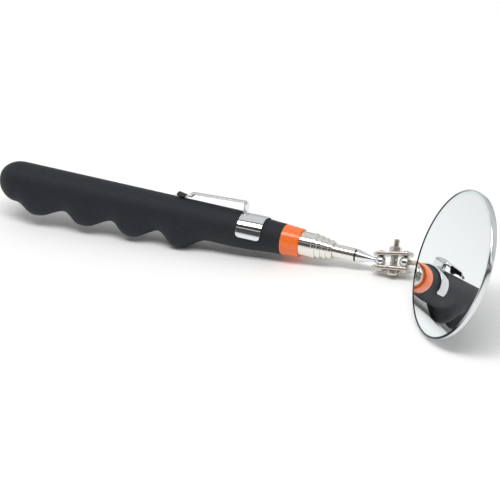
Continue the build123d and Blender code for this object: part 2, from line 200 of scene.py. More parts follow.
def choose(kind, test):
    """Selects the vertices, edges or faces that pass a test of their middle."""
    bpy.ops.mesh.select_mode(type=kind)
    bpy.ops.mesh.select_all(action="DESELECT")
    data = bpy.context.object.data
    mesh = bmesh.from_edit_mesh(data)
    parts = {"VERT": mesh.verts, "EDGE": mesh.edges, "FACE": mesh.faces}[kind]
    for part in parts:
        if kind == "VERT":
            middle = part.co
        elif kind == "EDGE":
            middle = (part.verts[0].co + part.verts[1].co) / 2
        else:
            middle = part.calc_center_median()
        if test(middle):
            part.select_set(True)
    mesh.select_flush_mode()
    bmesh.update_edit_mesh(data)


def chain(name, points):
    """Draws a chain of edges through points, by extruding one vertex from each to the next."""
    begin()
    bpy.ops.mesh.primitive_plane_add(size=1)
    piece = start_piece(name)
    bpy.ops.mesh.merge(type="CENTER")
    bpy.ops.transform.translate(value=points[0])
    for start, end in zip(points, points[1:]):
        bpy.ops.mesh.extrude_vertices_move(TRANSFORM_OT_translate={"value": Vector(end) - Vector(start)})
    return piece


def close_up():
    """Merges the doubles of the piece in edit mode and turns its faces outwards."""
    bpy.ops.mesh.select_all(action="SELECT")
    bpy.ops.mesh.remove_doubles(threshold=0.001)
    bpy.ops.mesh.normals_make_consistent(inside=False)
    bpy.ops.object.mode_set(mode="OBJECT")


def turned(name, outline, segments=96):
    """A piece turned about the bench's Z from an outline of (height, radius) in mm."""
    piece = chain(name, [(radius, 0, height) for height, radius in outline])
    bpy.ops.mesh.select_all(action="SELECT")
    bpy.ops.mesh.spin(steps=segments, angle=WHOLE_TURN, center=(0, 0, 0), axis=(0, 0, 1))
    close_up()
    return piece


def arc(centre, radius, first, last, steps=8):
    """Outline points on an arc, from one angle to another in degrees. 0 is outwards, 90 up."""
    angles = [math.radians(first + (last - first) * step / steps) for step in range(steps + 1)]
    return [(centre[0] + radius * math.sin(a), centre[1] + radius * math.cos(a)) for a in angles]


def wound(name, section, rise, steps, angle=WHOLE_TURN, turns=1):
    """A section in the bench's X and Z, wound about Z as it rises each turn, with its ends capped."""
    piece = chain(name, section + section[:1])
    close_up()
    pitch = {"screw_offset": rise, "angle": angle, "iterations": turns}
    modify(piece, "SCREW", axis="Z", steps=steps, render_steps=steps, **pitch)
    pick_up(piece)
    bpy.ops.object.mode_set(mode="EDIT")
    bpy.ops.mesh.select_mode(type="EDGE")
    bpy.ops.mesh.select_all(action="DESELECT")
    bpy.ops.mesh.select_non_manifold()
    bpy.ops.mesh.edge_face_add()
    close_up()
    return piece


def modify(piece, kind, **settings):
    """Adds a modifier to a piece, sets it and applies it."""
    pick_up(piece)
    bpy.ops.object.modifier_add(type=kind)
    modifier = piece.modifiers[-1]
    for name, value in settings.items():
        setattr(modifier, name, value)
    bpy.ops.object.modifier_apply(modifier=modifier.name)


def combine(piece, other, operation):
    """Joins another piece to this one, cuts with it or keeps what both share."""
    modify(piece, "BOOLEAN", operation=operation, object=other, solver="EXACT")
    bpy.data.objects.remove(other)


def soften(piece, width, segments=4, sharp=35):
    """Rounds a piece's sharp edges."""
    limits = {"limit_method": "ANGLE", "angle_limit": math.radians(sharp), "harden_normals": False}
    modify(piece, "BEVEL", width=width, segments=segments, **limits)


def settle(piece, axes, smooth=32):
    """Moves a piece from the bench to its place and shades its round faces smooth."""
    pick_up(piece)
    piece.matrix_world = axes @ Matrix.Scale(MM, 4) @ piece.matrix_world
    bpy.ops.object.transform_apply(location=True, rotation=True, scale=True)
    bpy.ops.object.shade_smooth_by_angle(angle=math.radians(smooth))


def hand_over(piece, body, slot, material, *nodes):
    """Gives a piece its finish and its body, and hides the CAD nodes that it stands for."""
    if not piece.data.polygons:
        raise RuntimeError(f"{piece.name} came out empty")
    piece.data.materials.clear()
    piece.data.materials.append(material)
    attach(piece, body)
    if nodes:
        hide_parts(*nodes)


def finish_node(name, material):
    """Gives a carried-over CAD node its finish."""
    node = frame["nodes"].get(name)
    if node is None:
        raise RuntimeError(f"the frame has no node named {name}")
    node.data.materials.clear()
    node.data.materials.append(material)


# ---------------------------------------------------------------- materials
def add_node(tree, kind, links=None, values=None, **settings):
    """Adds a shader node with its settings, its sockets' values and the links into it. A link is
    given as the socket that it comes from, or as a node where that is the node's first output."""
    node = tree.nodes.new(kind)
    for name, value in settings.items():
        setattr(node, name, value)
    for socket, value in (values or {}).items():
        node.inputs[socket].default_value = value
    for socket, source in (links or {}).items():
        output = source.outputs[0] if isinstance(source, bpy.types.Node) else source
        tree.links.new(output, node.inputs[socket])
    return node


def new_material(name):
    """A material with an empty tree. Gives both."""
    material = bpy.data.materials.new(name)
    material.use_nodes = True
    material.node_tree.nodes.clear()
    return material, material.node_tree


def features(size_mm, detail=2.0, roughness=0.5):
    """Values for noise whose features are about size_mm across."""
    return {"Scale": 1 / (size_mm * MM), "Detail": detail, "Roughness": roughness}


def between(low, high, start=0.3, end=0.7):
    """Values that map what lies from start to end, such as a noise's middle part, to low to high."""
    return {"From Min": start, "From Max": end, "To Min": low, "To Max": high}


def ends(first, second):
    """Values for a mix from one linear colour to another."""
    return {6: (*first, 1), 7: (*second, 1)}


def coordinates(tree, axes, stretch=(1, 1, 1)):
    """Object coordinates turned to the bench's axes and stretched along them."""
    place = {"Location": axes.translation, "Rotation": axes.to_euler(), "Scale": stretch}
    objects = add_node(tree, "ShaderNodeTexCoord").outputs["Object"]
    return add_node(tree, "ShaderNodeMapping", {"Vector": objects}, place, vector_type="TEXTURE")


def lay_surface(tree, colours, patches, roughness, marks, relief, depth_mm, strength, values):
    """Lays two colours in patches, takes the roughness from marks and raises relief as fine bumps."""
    tint = add_node(tree, "ShaderNodeMix", {0: patches}, ends(*colours), data_type="RGBA")
    rough = add_node(tree, "ShaderNodeMapRange", {"Value": marks}, between(*roughness))
    height = {"Strength": strength, "Distance": depth_mm * MM}
    bump = add_node(tree, "ShaderNodeBump", {"Height": relief}, height)
    links = {"Base Color": tint.outputs[2], "Roughness": rough, "Normal": bump}
    shader = add_node(tree, "ShaderNodeBsdfPrincipled", links, values)
    add_node(tree, "ShaderNodeOutputMaterial", {"Surface": shader})


def moulded_vinyl(colour, bloom):
    """Soft PVC moulded in a sand-blasted tool: matt, with a fine even grain and a dusty bloom."""
    material, tree = new_material("moulded_vinyl")
    vector = coordinates(tree, tube_bench)
    # The real blasted grain is about 0.1 mm and is drawn at 0.7 mm, so that it shows.
    grain = add_node(tree, "ShaderNodeTexNoise", {"Vector": vector}, features(0.7, 3, 0.6))
    patches = add_node(tree, "ShaderNodeTexNoise", {"Vector": vector}, features(2.5, 5, 0.7))
    values = {"IOR": 1.5, "Specular IOR Level": 0.3, "Sheen Weight": 0.04}
    lay_surface(tree, (colour, bloom), patches, (0.55, 0.75), grain, grain, 0.16, 0.8, values)
    return material


def glossy_abs(colour):
    """ABS moulded in a polished tool: an even glossy skin with slight flow ripples."""
    material, tree = new_material("glossy_abs")
    flow = add_node(tree, "ShaderNodeTexNoise", {"Vector": coordinates(tree, tube_bench)}, features(3.0))
    along_tool = coordinates(tree, tube_bench, (1, 1, 8))
    scuffs = add_node(tree, "ShaderNodeTexNoise", {"Vector": along_tool}, features(0.25))
    darker = tuple(channel * 0.88 for channel in colour)
    values = {"IOR": 1.54, "Coat Weight": 0.25}
    lay_surface(tree, (colour, darker), flow, (0.18, 0.3), scuffs, flow, 0.02, 0.5, values)
    return material


def plated(name, axes, colours, roughness, stretch, line_mm, depth_mm):
    """Bright plate over metal that keeps the marks of how it was worked. stretch draws the marks
    out along the bench's axes, line_mm is their spacing, and the second colour tints it in patches."""
    material, tree = new_material(name)
    worked = coordinates(tree, axes, stretch)
    marks = add_node(tree, "ShaderNodeTexNoise", {"Vector": worked}, features(line_mm, 3))
    patches = add_node(tree, "ShaderNodeTexNoise", {"Vector": coordinates(tree, axes)}, features(6.0, 3))
    tints = [linear(colour) for colour in colours]
    lay_surface(tree, tints, patches, roughness, marks, marks, depth_mm, 0.5, {"Metallic": 1.0})
    return material


def polished_chrome(name, axes):
    """Decorative chrome on polished steel: a cool mirror finish with hair-fine polishing lines."""
    return plated(name, axes, ("#E6E8EA", "#DCDFE2"), (0.05, 0.11), (1, 1, 14), 0.3, 0.001)


def part_black_chrome(name, axes, black_to, fade):
    """Chrome that turns black at its rear end, up to a height in mm along the bench. In the rod tip's groove the
    black is painted shade.
    """
    material, tree = new_material(name)
    height = add_node(tree, "ShaderNodeSeparateXYZ", {"Vector": coordinates(tree, axes)}).outputs["Z"]
    edge = between(0.0, 1.0, (black_to - fade) * MM, (black_to + fade) * MM)
    metal = add_node(tree, "ShaderNodeMapRange", {"Value": height}, edge)
    lines = coordinates(tree, axes, (1, 1, 14))
    marks = add_node(tree, "ShaderNodeTexNoise", {"Vector": lines}, features(0.3, 3))
    polish = add_node(tree, "ShaderNodeMapRange", {"Value": marks}, between(0.05, 0.11))
    colours = ends(linear("#0C0D0E"), linear("#E6E8EA"))
    tint = add_node(tree, "ShaderNodeMix", {0: metal}, colours, data_type="RGBA")
    rough = add_node(tree, "ShaderNodeMix", {0: metal, 3: polish}, {2: 0.45})
    bump = add_node(tree, "ShaderNodeBump", {"Height": marks}, {"Strength": 0.5, "Distance": 0.001 * MM})
    links = {"Base Color": tint.outputs[2], "Metallic": metal, "Roughness": rough, "Normal": bump}
    shader = add_node(tree, "ShaderNodeBsdfPrincipled", links, {"IOR": 1.5})
    add_node(tree, "ShaderNodeOutputMaterial", {"Surface": shader})
    return material


def bright_nickel(name, axes):
    """Bright nickel on drawn brass tube: warmer than chrome, with lines along the draw."""
    return plated(name, axes, ("#F0EEE8", "#E6E3DB"), (0.09, 0.18), (1, 1, 40), 0.25, 0.002)


def barrel_nickel(name, axes):
    """Nickel put on in a barrel with many small pieces: warm, satin and finely dinted."""
    return plated(name, axes, ("#DDD6CE", "#CCC4BA"), (0.16, 0.34), (1, 1, 1), 0.35, 0.012)


def turned_nickel(name, axes):
    """Nickel on a turned piece: tool marks run round it, so they vary along its axis only."""
    return plated(name, axes, ("#D6D1C7", "#C8C2B6"), (0.12, 0.24), (400, 400, 1), 0.15, 0.003)


def spun_stainless(name, axes, edge_mm, painted_light_way):
    """Stainless strip rolled round the glass and burnished, with lines that run round it. Its front edge is
    painted dark as painted reflection and shade, and left bright on one side as painted light."""
    material = plated(name, axes, ("#E3E5E7", "#D6D9DB"), (0.1, 0.2), (400, 400, 1), 0.12, 0.002)
    tree = material.node_tree
    shader = next(node for node in tree.nodes if node.type == "BSDF_PRINCIPLED")
    steel = shader.inputs["Base Color"].links[0].from_socket
    vector = coordinates(tree, axes)
    height = add_node(tree, "ShaderNodeSeparateXYZ", {"Vector": vector}).outputs["Z"]
    # Painted reflection and shade: the front edge is painted near black all round, except on the one side given as
    # a direction, whose edge keeps the steel colour as painted light.
    painted_dark_edge = between(0.0, 1.0, (edge_mm - 0.85) * MM, (edge_mm - 0.75) * MM)
    front = add_node(tree, "ShaderNodeMapRange", {"Value": height}, painted_dark_edge)
    side = add_node(tree, "ShaderNodeVectorMath", {0: vector}, {1: painted_light_way}, operation="DOT_PRODUCT")
    shaded_side_range = between(1.0, 0.0, 0.004, 0.02)
    dark = add_node(tree, "ShaderNodeMapRange", {"Value": side.outputs["Value"]}, shaded_side_range)
    amount = add_node(tree, "ShaderNodeMath", {0: front, 1: dark}, operation="MULTIPLY")
    black = {7: (*linear("#2A2D30"), 1)}
    edge = add_node(tree, "ShaderNodeMix", {0: amount, 6: steel}, black, data_type="RGBA")
    tree.links.new(edge.outputs[2], shader.inputs["Base Color"])
    return material


def zinc_steel(name, axes):
    """Clear zinc plate on sheet steel: a cool satin grey with a soft crystal mottle."""
    return plated(name, axes, ("#B4B8BC", "#9EA3A8"), (0.28, 0.42), (1, 1, 1), 0.9, 0.004)


def rolled_steel(name, axes):
    """Bright rolled steel sheet: fine straight lines from the mill's rolls."""
    return plated(name, axes, ("#B9BCBF", "#A6AAAE"), (0.2, 0.34), (30, 1, 1), 0.3, 0.004)


def spring_brass(name, axes):
    """Rolled spring brass, left bare: a yellow satin metal with lines along the strip."""
    return plated(name, axes, ("#D9B566", "#C29B4C"), (0.22, 0.35), (1, 1, 20), 0.3, 0.003)


def silvered_glass(colour):
    """Float glass silvered on its back: a clear cold reflection, a little greener at its rim."""
    material, tree = new_material("silvered_glass")
    vector = coordinates(tree, glass_bench)
    flat = add_node(tree, "ShaderNodeVectorMath", {0: vector}, {1: (1, 1, 0)}, operation="MULTIPLY")
    radius = add_node(tree, "ShaderNodeVectorMath", {0: flat}, operation="LENGTH").outputs["Value"]
    edge = widest("mirror_glass", glass_bench) * MM
    rim = add_node(tree, "ShaderNodeMapRange", {"Value": radius}, between(0.0, 1.0, edge - 0.003, edge))
    green = tuple(channel * scale for channel, scale in zip(colour, (0.82, 0.93, 0.9)))
    tint = add_node(tree, "ShaderNodeMix", {0: rim}, ends(colour, green), data_type="RGBA")
    # Float glass is flat to a few micrometres. What shows is a faint haze of dust.
    dust = add_node(tree, "ShaderNodeTexNoise", {"Vector": vector}, features(1.2, 4, 0.7))
    haze = add_node(tree, "ShaderNodeMapRange", {"Value": dust}, between(0.0, 0.02, 0.5, 0.9))
    links = {"Base Color": tint.outputs[2], "Roughness": haze}
    values = {"Metallic": 1.0, "Coat Weight": 0.4, "Coat Roughness": 0.0, "Coat IOR": 1.52}
    shader = add_node(tree, "ShaderNodeBsdfPrincipled", links, values)
    add_node(tree, "ShaderNodeOutputMaterial", {"Surface": shader})
    return material


def plain_plastic(name, axes, colours, roughness, grain_mm):
    """A small moulded or cut plastic piece with a fine grain."""
    material, tree = new_material(name)
    vector = coordinates(tree, axes)
    grain = add_node(tree, "ShaderNodeTexNoise", {"Vector": vector}, features(grain_mm, 3))
    tints = [linear(colour) for colour in colours]
    lay_surface(tree, tints, grain, roughness, grain, grain, 0.01, 0.5, {"IOR": 1.5})
    return material


# ---------------------------------------------------------------- pieces
class MIRROR_OT_grip(Operator):
    """Gives the moulded grip its vinyl"""

    bl_idname = "inspection_mirror.grip"
    bl_label = "Grip"

    def execute(self, context):
        settings = context.scene.handle_settings
        finish_node("grip", moulded_vinyl(settings.grip_colour, settings.grip_bloom))
        return {"FINISHED"}


class MIRROR_OT_collar(Operator):
    """Turns the glossy collar with its rounded front edge"""

    bl_idname = "inspection_mirror.collar"
    bl_label = "Collar"

    front_wall = 0.8

    def execute(self, context):
        settings = context.scene.handle_settings
        rear, front = reach("collar", tube_bench, 2)
        rear_radius = widest("collar", tube_bench)
        bore = widest("outer_tube", tube_bench)
        front_radius = bore + self.front_wall
        outline = [(rear, bore), (rear, rear_radius), (front, front_radius), (front, bore), (rear, bore)]
        collar = turned("collar_ring", outline)
        soften(collar, settings.collar_edge)
        settle(collar, tube_bench)
        hand_over(collar, "handle", "collar_plastic", glossy_abs(settings.collar_colour), "collar")
        return {"FINISHED"}


def bent_strip(name, profile, corners, radii, steps=8):
    """A strip that follows corners in the bench's X and Y, bent about Z at each with a radius.
    profile holds the strip's section at the first corner, as (forwards, Z) steps from it."""
    points = [Vector((*corner, 0)) for corner in corners]
    strip = chain(name, [points[0] + Vector((forwards, 0, z)) for forwards, z in profile])
    bpy.ops.mesh.select_all(action="SELECT")
    ways = [(end - start).normalized() for start, end in zip(points, points[1:])]
    used = 0.0
    for number, way in enumerate(ways):
        length = (points[number + 1] - points[number]).length - used
        if number == len(ways) - 1:
            bpy.ops.mesh.extrude_edges_move(TRANSFORM_OT_translate={"value": way * length})
            break
        turn = way.xy.angle_signed(ways[number + 1].xy)
        used = radii[number] * math.tan(abs(turn) / 2)
        bpy.ops.mesh.extrude_edges_move(TRANSFORM_OT_translate={"value": way * (length - used)})
        bend_start = points[number + 1] - way * used
        left = Vector((-way.y, way.x, 0))
        centre = bend_start + left * math.copysign(radii[number], -turn)
        bpy.ops.mesh.spin(steps=steps, angle=turn, center=centre, axis=(0, 0, 1))
    return strip


class MIRROR_OT_pocket_clip(Operator):
    """Bends the pocket clip: a band round the grip and a crowned spring arm with a flared toe"""

    bl_idname = "inspection_mirror.pocket_clip"
    bl_label = "Pocket clip"

    # Heights along the tool are in mm from the collar's front.
    band_rear, band_front = -32.3, -19.4
    band_radius = 8.9
    band_wrap = 222.0
    band_steps = 240
    arm_width = 6.8
    crown_power = 2.6
    crown_steps = 12
    # The arm is coloured black from this height to the end of its toe, with a soft change over the fade.
    dip, dip_fade = -63.2, 0.2
    # The arm's middle line as (along the tool, away from its axis), and the bends' radii.
    corners = ((-32.05, 9.0), (-31.95, 13.6), (-60.3, 12.1), (-62.6, 9.75), (-68.3, 10.75))
    radii = (1.5, 0.9, 1.2)

    def round_corners(self, length, corner):
        """Draws the band's edges in near its free ends, along a quarter circle at each corner."""
        mesh = bmesh.from_edit_mesh(bpy.context.object.data)
        free_end = max(abs(math.atan2(vertex.co.y, vertex.co.x)) for vertex in mesh.verts)
        step = WHOLE_TURN / self.band_steps
        width = step * self.band_radius
        for column in range(int(corner / width) + 1):
            short = max(corner - column * width, 0.0)
            inset = corner - math.sqrt(corner * corner - short * short)
            angle = free_end - column * step
            for side in (-1, 1):

                def at_corner(at):
                    turn = abs(math.atan2(at.y, at.x))
                    return abs(turn - angle) < step / 4 and abs(at.z - side * length / 2) < 0.01

                choose("VERT", at_corner)
                bpy.ops.transform.translate(value=(0, 0, -side * inset))

    def execute(self, context):
        settings = context.scene.handle_settings
        band = self.bend_band(settings)
        arm = self.bend_arm(settings)
        chrome = part_black_chrome("clip_chrome_dipped_toe", tube_bench, self.dip, self.dip_fade)
        pick_up(band)
        arm.select_set(True)
        bpy.ops.object.join()
        band.name = "spring_clip"
        hand_over(band, "handle", "clip_chrome", chrome, "pocket_clip")
        return {"FINISHED"}

    def bend_band(self, settings):
        """The band about the tubes' axis, with its open side away from the clip's arm."""
        length = self.band_front - self.band_rear
        begin()
        bpy.ops.mesh.primitive_cylinder_add(
            vertices=self.band_steps, radius=self.band_radius, depth=length, end_fill_type="NOTHING"
        )
        band = start_piece("clip_band")
        half_wrap = math.radians(self.band_wrap / 2)
        choose("FACE", lambda middle: abs(math.atan2(middle.y, middle.x)) > half_wrap)
        bpy.ops.mesh.delete(type="FACE")
        self.round_corners(length, settings.band_corner)
        bpy.ops.object.mode_set(mode="OBJECT")
        modify(band, "SOLIDIFY", thickness=settings.clip_wall, offset=0.0)
        soften(band, settings.clip_edge, segments=3, sharp=50)
        middle = collar_front + along * (self.band_front + self.band_rear) / 2 * MM
        settle(band, bench(middle, along, clip_way))
        return band

    def bend_arm(self, settings):
        """The crowned arm, with its toe's corners rounded and its toe's edges curled down."""
        half = self.arm_width / 2
        profile = []
        for step in range(self.crown_steps + 1):
            share = 2 * step / self.crown_steps - 1
            crown = settings.clip_crown * (1 - abs(share) ** self.crown_power)
            profile.append((crown, share * half))
        arm = bent_strip("pocket_clip_arm", profile, self.corners, self.radii)
        toe = self.corners[-1]
        choose("VERT", lambda at: at.x < toe[0] + 0.3 and abs(at.z) > half - 0.01)
        bpy.ops.mesh.bevel(offset=settings.toe_corner, segments=5, affect="VERTICES")
        heel = self.corners[-2]
        # The outer parts of the toe drop in two steps, so that its edges curl.
        for share in (0.45, 0.75):
            choose("VERT", lambda at: at.x < heel[0] - 1.0 and abs(at.z) > half * share)
            bpy.ops.transform.translate(value=(0, -settings.toe_curl / 2, 0))
        close_up()
        modify(arm, "SOLIDIFY", thickness=settings.clip_wall, offset=0.0)
        soften(arm, settings.clip_edge, segments=3, sharp=50)
        settle(arm, bench(collar_front, along.cross(clip_way), along))
        return arm


class MIRROR_OT_tubes(Operator):
    """Turns the nested tubes, each with a swelled and rolled mouth"""

    bl_idname = "inspection_mirror.tubes"
    bl_label = "Tubes"

    bodies = {"outer_tube": "handle", "tube_1": "stage_1", "tube_2": "stage_2", "tube_3": "stage_3"}
    wall = 0.28
    # The mouth is rolled in over this much of the wall, and the roll goes this far back inside.
    roll_in, roll_flat, roll_back = 0.5, 0.35, 0.75

    def execute(self, context):
        settings = context.scene.tube_settings
        material = bright_nickel("drawn_nickel_tube", tube_bench)
        for name, body in self.bodies.items():
            rear, front = reach(name, tube_bench, 2)
            outer = widest(name, tube_bench)
            inner = outer - self.wall
            mouth = outer - self.roll_in
            start = front - settings.swell_length
            mouth_start = front - settings.mouth_round
            outline = [(rear, inner), (rear, outer), (start, outer)]
            for step in range(1, 8):
                share = step / 8
                rise = settings.swell * math.sin(math.pi * share) ** 2
                outline.append((start + (mouth_start - start) * share, outer + rise))
            outline += arc((mouth_start, outer - settings.mouth_round), settings.mouth_round, 0, 90)
            outline += [(front, mouth), (front - self.roll_flat, mouth)]
            outline += [(front - self.roll_back, inner), (rear, inner)]
            tube = turned(name + "_drawn", outline, settings.segments)
            settle(tube, tube_bench)
            hand_over(tube, body, "tube_nickel", material, name)
        finish_node("rod", bright_nickel("drawn_nickel_rod", tube_bench))
        return {"FINISHED"}


class MIRROR_OT_rod_tip(Operator):
    """Turns the rod's cone and finishes the two drilled balls and the mirror's stud"""

    bl_idname = "inspection_mirror.rod_tip"
    bl_label = "Rod tip and balls"

    groove, groove_depth, land, land_edge = 0.8, 0.4, 0.3, 0.1
    cone_radius, neck_radius, pin_radius = 3.35, 1.35, 1.0
    # Heights of the neck's two ends along the tool, in mm from the collar's front.
    neck_start, neck_end = 37.5, 39.35

    def execute(self, context):
        self.make_tip()
        finish_node("rod_ball", polished_chrome("rod_ball_chrome", tube_bench))
        stud_bench = bench(stud_ball, stud_way, facing)
        finish_node("stud_ball", polished_chrome("stud_ball_chrome", stud_bench))
        finish_node("stud", turned_nickel("stud_nickel", stud_bench))
        return {"FINISHED"}

    def make_tip(self):
        """A turned cone with a plug in the rod and a pin in the ball. The plug and the groove behind the cone's
        base are painted black, as painted shade in the groove."""
        rear, front = reach("rod_tip", tube_bench, 2)
        rod_end = reach("rod", tube_bench, 2)[1]
        groove_end = rod_end + self.groove
        land_end = groove_end + self.land
        cone, neck, pin = self.cone_radius, self.neck_radius, self.pin_radius
        floor, edge = cone - self.groove_depth, self.land_edge
        outline = [(rear, 0), (rear, floor), (groove_end, floor), (groove_end, cone - edge)]
        outline += [(groove_end + edge, cone), (land_end, cone), (self.neck_start, neck)]
        outline += [(self.neck_end, neck), (self.neck_end, pin), (front, pin), (front, 0)]
        tip = turned("grooved_cone", outline)
        settle(tip, tube_bench, smooth=20)
        # Painted shade: the chrome is painted black up to the groove's front, so that the groove reads as a dark
        # ring.
        chrome = part_black_chrome("tip_chrome_painted_groove_shade", tube_bench, groove_end - edge, edge / 2)
        hand_over(tip, "rod", "tip_chrome", chrome, "rod_tip")


class MIRROR_OT_clamp_plates(Operator):
    """Presses the two clamp plates with their domes and rounded edges"""

    bl_idname = "inspection_mirror.clamp_plates"
    bl_label = "Clamp plates"

    width, thickness, half_gap = 8.0, 1.8, 2.45
    # The upper plate rides up on the stud's larger ball, by this angle.
    splay = math.radians(4.0)
    # Radii of the seats for the rod's ball and the stud's, and of the screw's hole.
    rod_seat, stud_seat, hole_radius = 2.75, 3.05, 2.0
    # Each dome runs out into the plate over this width.
    flare = 0.5

    def execute(self, context):
        settings = context.scene.clamp_settings
        material = barrel_nickel("clamp_nickel", clamp_bench)
        for name, flip, splay in (("lower_plate", math.pi, 0.0), ("upper_plate", 0.0, self.splay)):
            plate = self.press_plate(name + "_pressed", flip, splay, settings)
            settle(plate, clamp_bench)
            hand_over(plate, "clamp", "clamp_nickel", material, name)
        return {"FINISHED"}

    def press_plate(self, name, flip, splay, settings):
        """One plate on the clamp's bench, with its domes outwards and seats for the balls."""
        begin()
        bpy.ops.mesh.primitive_cylinder_add(vertices=96, radius=self.width / 2, depth=self.thickness)
        plate = start_piece(name)
        choose("VERT", lambda middle: middle.x > 0.001)
        bpy.ops.transform.translate(value=(ball_spacing, 0, 0))
        bpy.ops.object.mode_set(mode="OBJECT")
        soften(plate, settings.plate_edge, segments=5)
        for place in (0.0, ball_spacing):
            dome = self.turn_dome(settings)
            dome.location.x = place
            combine(plate, dome, "UNION")
        pick_up(plate)
        lift = Matrix.Translation((0, 0, self.half_gap + self.thickness / 2))
        to_face = Matrix.Translation((0, 0, self.half_gap))
        turn = to_face @ Matrix.Rotation(-splay, 4, "Y") @ to_face.inverted()
        plate.matrix_world = Matrix.Rotation(flip, 4, "X") @ turn @ lift
        bpy.ops.object.transform_apply(location=True, rotation=True, scale=True)
        balls = ((0.0, 0.0, self.rod_seat), (ball_spacing, stud_ball_rise, self.stud_seat))
        for place, rise, radius in balls:
            begin()
            bpy.ops.mesh.primitive_uv_sphere_add(
                segments=64, ring_count=32, radius=radius, location=(place, 0, rise)
            )
            combine(plate, bpy.context.object, "DIFFERENCE")
        begin()
        hole = (screw_bench.translation - clamp_bench.translation).length / MM
        bpy.ops.mesh.primitive_cylinder_add(
            vertices=64, radius=self.hole_radius, depth=30, location=(hole, 0, 0)
        )
        combine(plate, bpy.context.object, "DIFFERENCE")
        return plate

    def turn_dome(self, settings):
        """A shallow dome with a flared foot, on the middle plane of the plate."""
        face = self.thickness / 2
        foot, height = settings.dome_radius, settings.dome_height
        sphere = (foot**2 + height**2) / (2 * height)
        rim = math.degrees(math.asin(foot / sphere))
        outline = [(0.0, 0), (0.0, foot + self.flare), (face + 0.02, foot + self.flare)]
        outline.append((face + 0.06, foot + self.flare / 3))
        outline += arc((face + height - sphere, 0), sphere, 90 - rim + 4, 90, steps=10)
        return turned("dome", outline, 64)


class MIRROR_OT_fasteners(Operator):
    """Makes the slotted clamp screw with its thread, the chamfered nut and the spring washer"""

    bl_idname = "inspection_mirror.fasteners"
    bl_label = "Clamp fasteners"

    head_height, shoulder_radius, thread_radius = 2.0, 1.9, 1.6
    # The head's domed foot, as (height above it, radius).
    head_dome = ((0, 1.2), (0.1, 2.0), (0.4, 2.65))
    head_side, head_edge, point_edge = 0.9, 0.15, 0.25
    nut_flats, nut_chamfer, nut_bore, nut_mouth = 5.5, 0.35, 1.65, 2.05
    washer_inner, washer_outer, washer_spring = 2.05, 2.95, 0.15
    washer_wrap = math.radians(348)

    def execute(self, context):
        settings = context.scene.clamp_settings
        self.make_screw(settings)
        self.make_nut()
        self.make_lock_washer()
        finish_node("seat_washer", barrel_nickel("washer_nickel", screw_bench))
        return {"FINISHED"}

    def make_screw(self, settings):
        """A slotted pan head, a plain shoulder and a threaded end."""
        foot, top = reach("clamp_screw", screw_bench, 2)
        head_top = foot + self.head_height
        head_radius = widest("clamp_screw", screw_bench)
        crest, shoulder = self.thread_radius, self.shoulder_radius
        core = crest - settings.thread_depth
        thread_start = reach("seat_washer", screw_bench, 2)[0]
        outline = [(foot, 0.0)]
        outline += [(foot + height, radius) for height, radius in self.head_dome]
        outline += [(foot + self.head_side, head_radius), (head_top - self.head_edge, head_radius)]
        outline += [(head_top, head_radius - self.head_edge), (head_top, shoulder)]
        outline += [(thread_start, shoulder), (thread_start, core)]
        outline += [(top - self.point_edge, core), (top, core - self.point_edge), (top, 0.0)]
        screw = turned("slotted_clamp_screw", outline, 64)
        begin()
        bpy.ops.mesh.primitive_cube_add(size=1, location=(0, 0, foot))
        slot = start_piece("slot")
        bpy.ops.transform.resize(value=(10, settings.slot_width, 2 * settings.slot_depth))
        bpy.ops.object.mode_set(mode="OBJECT")
        combine(screw, slot, "DIFFERENCE")
        # The ridge's root lies inside the core, and neighbouring turns nearly meet.
        root, half = core - 0.1, settings.thread_pitch * 0.45
        section = [(root, 0, thread_start - half), (crest, 0, thread_start)]
        section.append((root, 0, thread_start + half))
        turns = int((top - 0.2 - thread_start) / settings.thread_pitch)
        ridge = wound("thread", section, settings.thread_pitch, 32, turns=turns)
        pick_up(screw)
        ridge.select_set(True)
        bpy.ops.object.join()
        settle(screw, screw_bench, smooth=28)
        nickel = turned_nickel("screw_nickel", screw_bench)
        hand_over(screw, "screw", "screw_nickel", nickel, "clamp_screw")

    def make_nut(self):
        """A hexagonal nut whose corners are turned down at both faces."""
        low, high = reach("clamp_nut", screw_bench, 2)
        corner = self.nut_flats / math.sqrt(3)
        begin()
        bpy.ops.mesh.primitive_cylinder_add(
            vertices=6, radius=corner, depth=high - low, location=(0, 0, (low + high) / 2)
        )
        nut = bpy.context.object
        nut.name = "hexagon_nut"
        face, outside, drop = self.nut_flats / 2 - 0.1, corner + 0.02, self.nut_chamfer
        cone = [(low - 1, 0), (low, face), (low + drop, outside)]
        cone += [(high - drop, outside), (high, face), (high + 1, 0)]
        combine(nut, turned("corners", cone, 96), "INTERSECT")
        bore, mouth = self.nut_bore, self.nut_mouth
        hole = [(low - 1, 0), (low - 1, bore), (high - 0.3, bore), (high + 0.1, mouth)]
        hole += [(high + 1, mouth), (high + 1, 0)]
        combine(nut, turned("bore", hole, 64), "DIFFERENCE")
        settle(nut, screw_bench, smooth=20)
        hand_over(nut, "clamp", "clamp_nickel", barrel_nickel("nut_nickel", screw_bench), "clamp_nut")

    def make_lock_washer(self):
        """A split ring of square wire with its ends sprung apart."""
        low, high = reach("lock_washer", screw_bench, 2)
        inner, outer, top = self.washer_inner, self.washer_outer, high - self.washer_spring
        section = [(inner, 0, low), (outer, 0, low), (outer, 0, top), (inner, 0, top)]
        wire = wound("split_lock_washer", section, self.washer_spring, 72, angle=self.washer_wrap)
        soften(wire, 0.1, segments=2, sharp=50)
        settle(wire, screw_bench)
        nickel = turned_nickel("spring_washer", screw_bench)
        hand_over(wire, "clamp", "clamp_nickel", nickel, "lock_washer")


